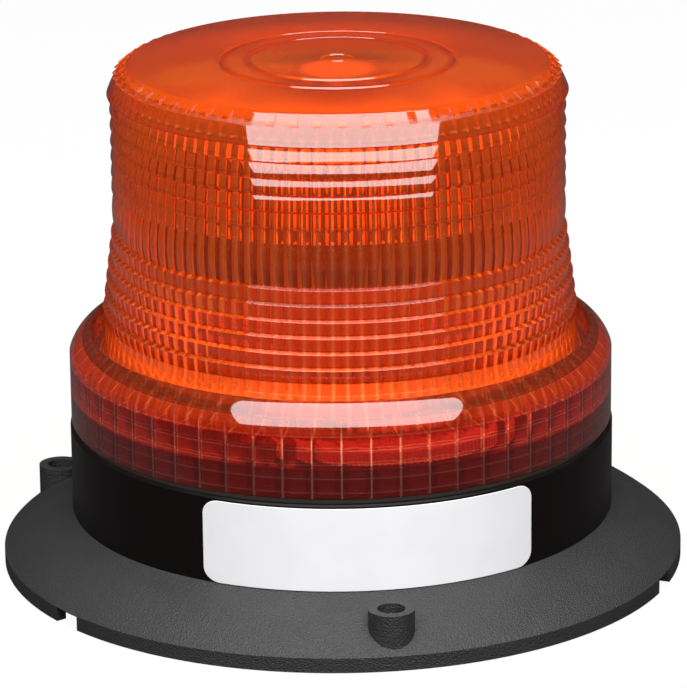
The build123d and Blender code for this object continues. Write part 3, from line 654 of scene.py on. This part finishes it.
    def wire(self, tree: Tree, shader: Node, effects: Effects) -> None:
        """Wire the colours of skirt, dome and top, with their painted light and shade, and let shadow rays
        through, tinted.

        Args:
            tree: the material's wiring.
            shader: its shader.
            effects: the shared shader groups.
        """
        shader.inputs["Transmission Weight"].default_value = self.clarity
        shader.inputs["IOR"].default_value = self.ior
        shader.inputs["Specular IOR Level"].default_value = self.specular
        shader.inputs["Coat Weight"].default_value = self.gloss
        across = tree.add("ShaderNodeSeparateXYZ", {0: tree.place()})
        height = across.outputs["Z"]
        turn = tree.math("ARCTAN2", across.outputs["Y"], across.outputs["X"])
        flow = tree.noise(90.0)
        wall = tree.mix(tree.ramp(height, *self.skirt_end), self.skirt(tree, height, turn),
                        self.dome(tree, height, turn, flow))
        whole = tree.mix(tree.ramp(height, *self.roof_start), wall, self.roof(tree, across))
        tree.join(whole, shader.inputs["Base Color"])
        over, below = tree.ramp(height, *self.frost_low), tree.ramp(height, *self.frost_high)
        frost = tree.math("MULTIPLY", tree.math("MULTIPLY", over, below), self.frost)
        rough = tree.math("ADD", tree.math("ADD", self.roughness, frost), tree.math("MULTIPLY", flow, 0.03))
        tree.join(rough, shader.inputs["Roughness"])
        path = tree.add("ShaderNodeLightPath")
        clear = tree.add("ShaderNodeBsdfTransparent", {"Color": (*self.shade, 1.0)})
        both = tree.add("ShaderNodeMixShader", {0: path.outputs["Is Shadow Ray"], 1: shader.outputs[0],
                                                2: clear.outputs[0]})
        out = tree.tree.nodes["Material Output"]
        tree.join(both.outputs[0], out.inputs["Surface"])


@dataclass(frozen=True)
class Laminate(Finish):
    """Circuit board: solder mask with copper lines showing under it.

    Attributes:
        line: colour over the copper.
        roof: colour of what lies above roof_z.
        roof_z: height above which a lamp tower is its pale top board.
    """

    line: Colour = (0.05, 0.2, 0.08)
    roof: Colour = (0.75, 0.72, 0.62)
    roof_z: float = 9.0

    def wire(self, tree: Tree, shader: Node, effects: Effects) -> None:
        """Wire a cell pattern of tracks into colour and bump.

        Args:
            tree: the material's wiring.
            shader: its shader.
            effects: the shared shader groups.
        """
        shader.inputs["Coat Weight"].default_value = 0.4
        place = tree.place()
        cells = tree.add("ShaderNodeTexVoronoi", {"Vector": place, "Scale": 320.0},
                         feature="DISTANCE_TO_EDGE")
        track = tree.ramp(cells.outputs["Distance"], 0.12, 0.05)
        height = tree.add("ShaderNodeSeparateXYZ", {0: place}).outputs["Z"]
        above = tree.math("GREATER_THAN", height, self.roof_z)
        sides = tree.mix(track, self.colour, self.line)
        tree.join(tree.mix(above, sides, self.roof), shader.inputs["Base Color"])
        tree.bump(shader, track, 0.2, 0.0001)


@dataclass(frozen=True)
class LabelFilm(Finish):
    """Bare white label film with a faint wave from its adhesive."""

    def wire(self, tree: Tree, shader: Node, effects: Effects) -> None:
        """Wire paper fibre, a slow wave and slightly soiled patches.

        Args:
            tree: the material's wiring.
            shader: its shader.
            effects: the shared shader groups.
        """
        shader.inputs["Specular IOR Level"].default_value = 0.35
        fibre = tree.noise(1800.0)
        wave = tree.noise(70.0, 2.0)
        soiled = tuple(c * 0.94 for c in self.colour)
        film = tree.mix(tree.ramp(wave, 0.4, 0.8), self.colour, soiled)
        tree.join(film, shader.inputs["Base Color"])
        height = tree.math("ADD", tree.math("MULTIPLY", fibre, 0.2), wave)
        tree.bump(shader, height, 0.08, 0.0005)


class Surface(Enum):
    """Every finish of the beacon."""

    TEXTURED = MouldedPlastic("housing_textured", (0.022, 0.022, 0.023), 0.52, grain=2400.0, depth=0.9,
                              dust=0.05)
    SMOOTH = MouldedPlastic("housing_smooth", (0.0048, 0.0034, 0.0034), 0.32, grain=2600.0, depth=0.03,
                            dust=0.03, specular=0.12)
    LENS = ClearLens("amber_clear", (0.92, 0.125, 0.018), 0.01)
    FILM = LabelFilm("label_white", (0.86, 0.86, 0.88), 0.42)
    RUBBER = MouldedPlastic("seal_rubber", (0.012, 0.012, 0.012), 0.7, grain=1800.0, depth=0.12, wear=0.05)
    ZINC = PlatedMetal("zinc_plate", (0.6, 0.57, 0.5), 0.34, metal=0.8)
    CAN = PlatedMetal("motor_can", (0.52, 0.52, 0.53), 0.36, streak=500.0)
    BRASS = PlatedMetal("turned_brass", (0.74, 0.54, 0.22), 0.28)
    NICKEL = PlatedMetal("nickel_plate", (0.68, 0.65, 0.57), 0.22)
    MIRROR = PlatedMetal("mirror_film", (0.74, 0.93, 0.6), 0.3, streak=300.0, depth=0.01, tint=0.02)
    NATURAL = MouldedPlastic("gear_natural", (0.72, 0.68, 0.58), 0.5, grain=900.0, depth=0.04)
    BROWN = MouldedPlastic("brown_moulding", (0.26, 0.11, 0.06), 0.4, grain=1400.0, depth=0.06)
    DARK = MouldedPlastic("dark_moulding", (0.03, 0.022, 0.018), 0.45, grain=1400.0, depth=0.06)
    FIBRE = MouldedPlastic("washer_fibre", (0.2, 0.07, 0.03), 0.7, grain=1200.0, depth=0.2)
    BOARD = Laminate("board_mask", (0.012, 0.07, 0.03), 0.35)
    TOWER = Laminate("tower_mask", (0.06, 0.04, 0.03), 0.35, line=(0.1, 0.07, 0.05), roof_z=0.1008)
    PHOSPHOR = MouldedPlastic("light_phosphor", (0.85, 0.62, 0.08), 0.35, grain=3000.0, depth=0.03, wear=0.0)
    TERMINAL = MouldedPlastic("terminal_green", (0.02, 0.11, 0.05), 0.45, grain=1500.0, depth=0.05)
    SLEEVE = MouldedPlastic("can_sleeve", (0.01, 0.014, 0.04), 0.3, grain=800.0, depth=0.02)
    FERRITE = MouldedPlastic("choke_core", (0.05, 0.045, 0.04), 0.6, grain=1500.0, depth=0.2)


@dataclass
class Studio:
    """Camera, softbox, floor and room at the photograph's angle.

    Attributes:
        distance: metres from the axis back to the camera.
        height: the camera's height.
        side: its shift to the right.
        pitch: degrees that it looks down.
        roll: degrees that it leans.
        lens: focal length in millimetres.
        sensor: sensor width in millimetres.
        box_left: left edge of the softbox.
        box_right: its right edge.
        box_low: depth and height of its lower edge.
        box_high: the same of its upper edge.
        box_power: its power in watts.
        room: brightness of the room.
        paper: brightness of the floor.
        paper_front: its brightness in front of the beacon.
        paper_glow: how white the camera sees it.
        paper_turn: depths between which it brightens.
        gloss_share: how far gloss sees the white background.
    """

    distance: float = 1.0
    height: float = 0.371
    side: float = 0.00073
    pitch: float = 17.67
    roll: float = 0.65
    lens: float = 226.15
    sensor: float = 36.0
    box_left: float = -0.75
    box_right: float = 0.88
    box_low: Point = (-0.84, 0.44)
    box_high: Point = (0.1, 1.88)
    box_power: float = 45.0
    room: float = 0.03
    paper: float = 0.05
    paper_front: float = 0.02
    paper_glow: float = 0.93
    paper_turn: Span = (-0.13, -0.093)
    gloss_share: float = 0.01

    def build(self) -> None:
        """Make the camera, the softbox, the floor and the world."""
        self._camera()
        self._floor()
        self._world()
        self._softbox()
        bpy.context.scene.view_settings.view_transform = "Standard"

    def _camera(self) -> None:
        """Place the camera as the photograph's circles ask."""
        data = bpy.data.cameras.new("photo_camera")
        data.sensor_width = self.sensor
        data.lens = self.lens
        data.clip_end = 20.0
        camera = bpy.data.objects.new("photo_camera", data)
        bpy.context.scene.collection.objects.link(camera)
        camera.matrix_world = (Matrix.Translation((self.side, -self.distance, self.height))
                               @ Matrix.Rotation(math.radians(90 - self.pitch), 4, "X")
                               @ Matrix.Rotation(math.radians(-self.roll), 4, "Z"))
        bpy.context.scene.camera = camera

    def _softbox(self) -> None:
        """Hang the tall softbox above the camera, leaning in over the beacon."""
        data = bpy.data.lights.new("overhead_softbox", "AREA")
        data.shape = "RECTANGLE"
        data.size = self.box_right - self.box_left
        (low_y, low_z), (high_y, high_z) = self.box_low, self.box_high
        data.size_y = math.hypot(high_y - low_y, high_z - low_z)
        data.energy = self.box_power
        lamp = bpy.data.objects.new("overhead_softbox", data)
        bpy.context.scene.collection.objects.link(lamp)
        lamp.location = ((self.box_left + self.box_right) / 2, (low_y + high_y) / 2, (low_z + high_z) / 2)
        lamp.rotation_euler.x = math.atan2(high_z - low_z, high_y - low_y)
        lamp.visible_camera = False

    def _floor(self) -> None:
        """Lay a pale paper floor that darkens towards the camera."""
        mesh = bmesh.new()
        bmesh.ops.create_grid(mesh, x_segments=8, y_segments=8, size=3.0)
        bmesh.ops.translate(mesh, vec=(0, 0, -0.0002), verts=mesh.verts[:])
        floor = finish_mesh(mesh, "studio_floor")
        made = bpy.data.materials.new("studio_paper")
        made.use_nodes = True
        tree = Tree(made.node_tree)
        shader = made.node_tree.nodes["Principled BSDF"]
        shader.inputs["Roughness"].default_value = 0.9
        shader.inputs["Specular IOR Level"].default_value = 0.1
        depth = tree.add("ShaderNodeSeparateXYZ", {0: tree.place()}).outputs["Y"]
        pale = tree.mix(tree.noise(40.0), (self.paper,) * 3, (self.paper * 0.96,) * 3)
        front = tree.mix(tree.ramp(depth, *self.paper_turn), (self.paper_front,) * 3, pale)
        tree.join(front, shader.inputs["Base Color"])
        seen = self.seen(tree, tree.add("ShaderNodeLightPath"))
        shader.inputs["Emission Color"].default_value = (1.0, 1.0, 1.0, 1.0)
        tree.join(tree.math("MULTIPLY", seen, self.paper_glow), shader.inputs["Emission Strength"])
        floor.data.materials.append(made)

    def _world(self) -> None:
        """Fill the shade from a dim room, white where the camera or the lens looks at it."""
        world = bpy.data.worlds.new("studio_room")
        bpy.context.scene.world = world
        world.use_nodes = True
        back = world.node_tree.nodes["Background"]
        tree = Tree(world.node_tree)
        seen = self.seen(tree, tree.add("ShaderNodeLightPath"))
        tree.join(tree.mix(seen, (self.room,) * 3, (1.0, 1.0, 1.0)), back.inputs["Color"])

    def seen(self, tree: Tree, path: Node) -> Socket:
        """Mask the rays that see the white background: by eye, through glass, faintly in gloss.

        Args:
            tree: wiring of the floor or the world.
            path: its Light Path node.

        Returns:
            The mask.
        """
        gloss = tree.math("MULTIPLY", path.outputs["Is Glossy Ray"], self.gloss_share)
        through = tree.math("MAXIMUM", path.outputs["Is Camera Ray"], path.outputs["Is Transmission Ray"])
        return tree.math("MAXIMUM", through, gloss)


@dataclass(frozen=True)
class LensMoulding(LensPattern):
    """The amber lens: skirt, rounded shoulder, gutter, ring prisms, flutes and toothed crown.

    Attributes:
        steps: divisions of the full turn.
        low_z: height of the skirt's foot.
        foot_edge: its broken edge.
        skirt_r: outer radius of the skirt.
        skirt_in_r: its inner radius, between its flutes.
        skirt_top: height at which its shoulder starts.
        shoulder_bulge: swell of the shoulder, out and up.
        crest_r: radius of the shoulder's crest.
        crest_z: its height.
        crest_round: round inside it, set off from gutter_r and crest_z.
        gutter_r: outer radius of the gutter.
        gutter_z: height of its floor.
        gutter_t: thickness of that floor.
        gutter_round: round at its outer edge, set off from gutter_r and gutter_z.
        foot_r: radius of the dome's foot.
        foot_round: round at that foot, set off from foot_r and gutter_z.
        band_r: radius of the band's edges.
        band_bulge: swell of the band between them.
        riser: height of the riser between two rings.
        break_edge: how far in and off its corner is broken.
        ring_swell: swell of a ring's face.
        upper_r: radius of each ring's foot above the band.
        lower_r: radius of the first ring's top below the band.
        lower_step: how much wider the next ring is.
        tilt: degrees that the first ring's face leans.
        tilt_step: how many more the next leans, halved below the band.
        crown_r: radius of the crown's foot.
        crown_lip: its height above the last ring.
        crown_bulge: swell of the crown's side, out and up.
        bevel_r: radius at the foot of the toothed bevel.
        bevel_z: height there.
        top_r: radius of the top.
        top_z: its height.
        top_t: its thickness.
        top_edge: points from the bevel to the top, set off from top_r and top_z.
        top_rings: radii of the two steps in the top.
        groove: groove before a step, set off from its radius and height.
        step: how far in and up the step is.
        nub_groove: groove round the nub, as radius and rise.
        nub: its outline, likewise.
        dome_in_low: inner radius at the dome's foot, between its flutes.
        dome_in_top: the same under the top.
        flute_depth: how far each swells inwards.
        flute_parts: facets of each.
        skirt_flute_depth: the same of the skirt's flutes.
        skirt_flute_parts: their facets.
        tooth_steps: divisions of the turn from one tooth to the next.
        tooth_width: divisions of one tooth.
        tooth_lift: how far a tooth stands proud.
        tooth_way: its direction as shares outwards and up.
    """

    steps: int = 360
    low_z: float = 35.7
    foot_edge: float = 0.3
    skirt_r: float = 65.7
    skirt_in_r: float = 63.95
    skirt_top: float = 52.6
    shoulder_bulge: Point = (0.5, 0.41)
    crest_r: float = 61.2
    crest_z: float = 58.1
    crest_round: Curve = ((0.5, -0.02), (0.1, -0.25), (0.0, -0.8))
    gutter_r: float = 60.4
    gutter_z: float = 52.1
    gutter_t: float = 2.3
    gutter_round: Curve = ((-0.3, 1.0), (-0.65, 0.3), (-1.3, 0.0))
    foot_r: float = 57.7
    foot_round: Curve = ((0.9, 0.0), (0.3, 0.25), (0.0, 0.9))
    band_r: float = 53.7
    band_bulge: float = 0.8
    riser: float = 0.45
    break_edge: Point = (0.12, 0.1)
    ring_swell: float = 0.11
    upper_r: float = 54.5
    lower_r: float = 54.9
    lower_step: float = 0.47
    tilt: float = 8.0
    tilt_step: float = 2.8
    crown_r: float = 55.06
    crown_lip: float = 0.2
    crown_bulge: Point = (0.12, 0.1)
    bevel_r: float = 52.9
    bevel_z: float = 121.0
    top_r: float = 50.0
    top_z: float = 123.5
    top_t: float = 2.5
    top_edge: Curve = ((0.45, -0.6), (0.0, -0.2), (-0.5, 0.0))
    top_rings: Span = (28.0, 21.0)
    groove: Curve = ((1.0, 0.0), (0.4, -0.35), (-0.2, 0.0))
    step: Point = (0.5, 0.2)
    nub_groove: Curve = ((4.0, 0.0), (3.4, -0.35), (2.8, 0.0))
    nub: Curve = ((2.5, 0.0), (2.25, 0.16), (1.7, 0.25), (0.0, 0.29))
    dome_in_low: float = 54.0
    dome_in_top: float = 51.3
    flute_depth: float = 0.5
    flute_parts: int = 4
    skirt_flute_depth: float = 1.05
    skirt_flute_parts: int = 6
    tooth_steps: int = 6
    tooth_width: int = 2
    tooth_lift: float = 0.7
    tooth_way: Point = (0.9, 0.1)

    def skirt_outline(self) -> list[Point]:
        """Trace the skirt, its rounded shoulder and the gutter behind it.

        Returns:
            Points as (radius, height) in millimetres.
        """
        points = [(self.skirt_r - self.foot_edge, self.low_z), (self.skirt_r, self.low_z + self.foot_edge)]
        out, up = self.shoulder_bulge
        bend = ((self.skirt_r + self.crest_r) / 2 + out, (self.skirt_top + self.crest_z) / 2 + up)
        points += arc((self.skirt_r, self.skirt_top), bend, (self.crest_r, self.crest_z), 14)
        points += bow(self.gutter_r, self.crest_z, self.crest_round, 3)
        points += bow(self.gutter_r, self.gutter_z, self.gutter_round, 4)
        return points + bow(self.foot_r, self.gutter_z, self.foot_round, 4)

    def ring_outline(self) -> list[Point]:
        """Trace the lower rings, the convex band and the upper rings.

        Returns:
            Points as (radius, height) in millimetres.
        """
        points = []
        inwards, off = self.break_edge
        for j in reversed(range(self.rings)):
            top = self.band_low - j * self.lower_pitch - self.riser
            peak = self.lower_r + j * self.lower_step
            run = self.lower_pitch - self.riser
            lean = run * math.tan(math.radians(self.tilt + j * self.tilt_step / 2))
            swell = (peak - lean * 0.5 + self.ring_swell, top - run * 0.5)
            points += arc((peak - lean, top - run), swell, (peak, top), 5) + [(peak - inwards, top + off)]
        belly = (self.band_r + self.band_bulge, (self.band_low + self.band_high) / 2)
        points += arc((self.band_r, self.band_low), belly, (self.band_r, self.band_high), 10)
        for k in range(self.rings):
            low = self.band_high + k * self.pitch
            foot = low + self.riser / 2
            run = self.pitch - self.riser
            lean = run * math.tan(math.radians(self.tilt + k * self.tilt_step))
            swell = (self.upper_r - lean * 0.5 + self.ring_swell, (foot + low + run) / 2)
            points.append((self.upper_r - inwards, foot - off))
            points += arc((self.upper_r, foot), swell, (self.upper_r - lean, low + run), 5)
        return points

    def crown_outline(self) -> list[Point]:
        """Trace the crown, its bevel and the top with its steps and nub.

        Returns:
            Points as (radius, height) in millimetres.
        """
        foot = self.band_high + self.rings * self.pitch
        inwards, off = self.break_edge
        points = [(self.crown_r - inwards, foot - off)]
        out, up = self.crown_bulge
        side = ((self.crown_r + self.bevel_r) / 2 + out, (foot + self.bevel_z) / 2 + up)
        points += arc((self.crown_r, foot + self.crown_lip), side, (self.bevel_r, self.bevel_z), 5)
        points += [(self.top_r + away, self.top_z + rise) for away, rise in self.top_edge]
        level = self.top_z
        for radius in self.top_rings:
            points += bow(radius, level, self.groove, 6)
            level += self.step[1]
            points.append((radius - self.step[0], level))
        points += bow(0.0, level, self.nub_groove, 4)
        return points + [(radius, level + rise) for radius, rise in self.nub]

    def fluted_wall(self, mesh: Mesh, radius: float, z0: float, top: float, z1: float,
                    depth: float, count: int, parts: int) -> None:
        """Make an upright fluted wall by repeating one flute round the axis.

        Args:
            mesh: the mesh that receives it.
            radius: radius of the valleys at the foot.
            z0: height of the foot.
            top: radius of the valleys at the top.
            z1: height of the top.
            depth: how far each flute swells inwards.
            count: number of flutes.
            parts: facets of each flute.
        """
        piece = bmesh.new()
        step = TURN / count
        row = []
        for i in range(parts + 1):
            a = step * i / parts
            r = (radius - depth * math.sin(math.pi * i / parts)) * MM
            row.append(piece.verts.new((r * math.cos(a), r * math.sin(a), z0 * MM)))
        edges = [piece.edges.new(pair) for pair in zip(row, row[1:])]
        raised = bmesh.ops.extrude_edge_only(piece, edges=edges)["geom"]
        lifted = [v for v in raised if isinstance(v, bmesh.types.BMVert)]
        bmesh.ops.scale(piece, vec=(top / radius, top / radius, 1.0), verts=lifted)
        bmesh.ops.translate(piece, vec=(0, 0, (z1 - z0) * MM), verts=lifted)
        bmesh.ops.spin(piece, geom=piece.verts[:] + piece.edges[:] + piece.faces[:], cent=(0, 0, 0),
                       axis=(0, 0, 1), dvec=(0, 0, 0), angle=TURN * (count - 1) / count, steps=count - 1,
                       use_duplicate=True)
        bmesh.ops.remove_doubles(piece, verts=piece.verts[:], dist=MM * 0.01)
        data = bpy.data.meshes.new("flutes")
        piece.to_mesh(data)
        piece.free()
        mesh.from_mesh(data)
        bpy.data.meshes.remove(data)

    @staticmethod
    def rim(mesh: Mesh, z: float, low_r: float, high_r: float) -> list[bmesh.types.BMEdge]:
        """Find the open edges at one height between two radii.

        Args:
            mesh: the mesh to search.
            z: the height in millimetres.
            low_r: smaller radius.
            high_r: larger radius.

        Returns:
            The edges.
        """

        def within(vert: bmesh.types.BMVert) -> bool:
            """Tell whether a vertex lies at that height between the radii."""
            level = abs(vert.co.z - z * MM) < 1e-6
            return level and low_r * MM < math.hypot(vert.co.x, vert.co.y) < high_r * MM

        return [edge for edge in mesh.edges if edge.is_boundary and all(within(v) for v in edge.verts)]

    def teeth(self, mesh: Mesh) -> None:
        """Raise a third of the crown's bevel as teeth.

        Args:
            mesh: the lathed lens, changed in place.
        """
        turn = TURN / self.steps
        faces = []
        for face in mesh.faces:
            middle = face.calc_center_median()
            if not self.bevel_z * MM < middle.z < (self.top_z + self.top_edge[0][1]) * MM:
                continue
            index = int((math.atan2(middle.y, middle.x) % TURN) / turn)
            if index % self.tooth_steps < self.tooth_width:
                faces.append(face)
        made = bmesh.ops.extrude_face_region(mesh, geom=faces)["geom"]
        tops = [v for v in made if isinstance(v, bmesh.types.BMVert)]
        out, up = self.tooth_way
        for vert in tops:
            flat = Vector((vert.co.x, vert.co.y, 0)).normalized()
            vert.co += (flat * out + Vector((0, 0, up))) * self.tooth_lift * MM
        bmesh.ops.delete(mesh, geom=[f for f in faces if f.is_valid], context="FACES_ONLY")

    def build(self, effects: Effects) -> None:
        """Make the whole moulding as one mesh.

        Args:
            effects: the shared shader groups.
        """
        mesh = bmesh.new()
        lathe(mesh, self.skirt_outline() + self.ring_outline() + self.crown_outline(), self.steps)
        self.teeth(mesh)
        under = self.gutter_z - self.gutter_t
        inside = self.top_z - self.top_t
        self.fluted_wall(mesh, self.skirt_in_r, self.low_z, self.skirt_in_r, under, self.skirt_flute_depth,
                         self.skirt_flutes, self.skirt_flute_parts)
        self.fluted_wall(mesh, self.dome_in_low, under, self.dome_in_top, inside, self.flute_depth,
                         self.flutes, self.flute_parts)
        # Fault: the flutes reach 0.05 mm inside this range, so the bridge breaks and faces span the foot.
        foot = self.rim(mesh, self.low_z, self.skirt_in_r - 1, self.skirt_r)
        bmesh.ops.bridge_loops(mesh, edges=foot)
        ceiling = self.rim(mesh, under, self.dome_in_low - 1, self.skirt_in_r + 0.1)
        bmesh.ops.bridge_loops(mesh, edges=ceiling)
        lid = self.rim(mesh, inside, self.dome_in_top - 1, self.dome_in_top + 0.1)
        bmesh.ops.holes_fill(mesh, edges=lid, sides=0)
        bmesh.ops.recalc_face_normals(mesh, faces=mesh.faces[:])
        obj = finish_mesh(mesh, "lens_moulding", 28.0)
        put(obj, "lens", Surface.LENS.value.material(effects), "lens_dome")


@dataclass(frozen=True)
class CadDresser:
    """Gives a CAD piece merged faces, broken edges and its finish.

    Attributes:
        effects: the shared shader groups.
        edge: width of the broken edges in millimetres.
        edge_degrees: corners steeper than this are broken.
        flat_degrees: faces that turn less than this are merged.
        sharp_degrees: corners steeper than this stay crisp.
    """

    effects: Effects
    edge: float = 0.08
    edge_degrees: float = 38.0
    flat_degrees: float = 0.6
    sharp_degrees: float = 30.0

    def dress(self, node: str, surface: Surface) -> None:
        """Replace one CAD node by its dressed copy.

        Args:
            node: name of the CAD node.
            surface: its finish.
        """
        source = frame["nodes"][node]
        mesh = bmesh.new()
        mesh.from_mesh(source.data)
        bmesh.ops.remove_doubles(mesh, verts=mesh.verts[:], dist=MM * 0.002)
        bmesh.ops.dissolve_limit(mesh, angle_limit=math.radians(self.flat_degrees), verts=mesh.verts[:],
                                 edges=mesh.edges[:])
        obj = finish_mesh(mesh, node + "_dressed", self.sharp_degrees)
        bevel = obj.modifiers.new("broken_edges", "BEVEL")
        bevel.width = self.edge * MM
        bevel.segments = 2
        bevel.limit_method = "ANGLE"
        bevel.angle_limit = math.radians(self.edge_degrees)
        weighted = obj.modifiers.new("flat_faces", "WEIGHTED_NORMAL")
        weighted.keep_sharp = True
        put(obj, source["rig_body"], surface.value.material(self.effects), node)


SURFACE_OF_NODE = {
    "lens_seal": Surface.RUBBER, "cable_grommet": Surface.RUBBER, "chassis_plate": Surface.ZINC,
    "motor_case": Surface.CAN, "motor_end_cap": Surface.DARK, "motor_shaft": Surface.ZINC,
    "motor_pinion": Surface.BRASS, "idler_pin": Surface.ZINC, "idler_clip": Surface.ZINC,
    "idler_gear": Surface.NATURAL, "lamp_post": Surface.ZINC, "thrust_washer": Surface.FIBRE,
    "retaining_clip": Surface.ZINC, "turntable_bush": Surface.BRASS, "turntable_gear": Surface.NATURAL,
    "reflector": Surface.MIRROR, "lamp_holder": Surface.BROWN, "lamp_contacts": Surface.BRASS,
    "lamp_cap": Surface.NICKEL, "lamp_collar": Surface.DARK, "led_tower": Surface.TOWER,
    "led_chips": Surface.PHOSPHOR, "driver_board": Surface.BOARD, "terminal_block": Surface.TERMINAL,
    "board_transistor": Surface.DARK, "board_capacitors": Surface.SLEEVE, "board_choke": Surface.FERRITE,
    "chassis_screws": Surface.ZINC, "post_screws": Surface.ZINC, "motor_screws": Surface.ZINC,
    "reflector_screws": Surface.ZINC, "board_screws": Surface.ZINC, "id_label": Surface.FILM,
    "base_housing": Surface.SMOOTH, "mount_flange": Surface.TEXTURED,
}


def main() -> None:
    """Build the beacon piece by piece and its studio."""
    logging.basicConfig(level=logging.INFO, format="%(name)s: %(message)s")
    Studio().build()
    effects = Effects()
    LensMoulding().build(effects)
    dresser = CadDresser(effects)
    for node, surface in SURFACE_OF_NODE.items():
        dresser.dress(node, surface)


if __name__ == "__main__":
    main()
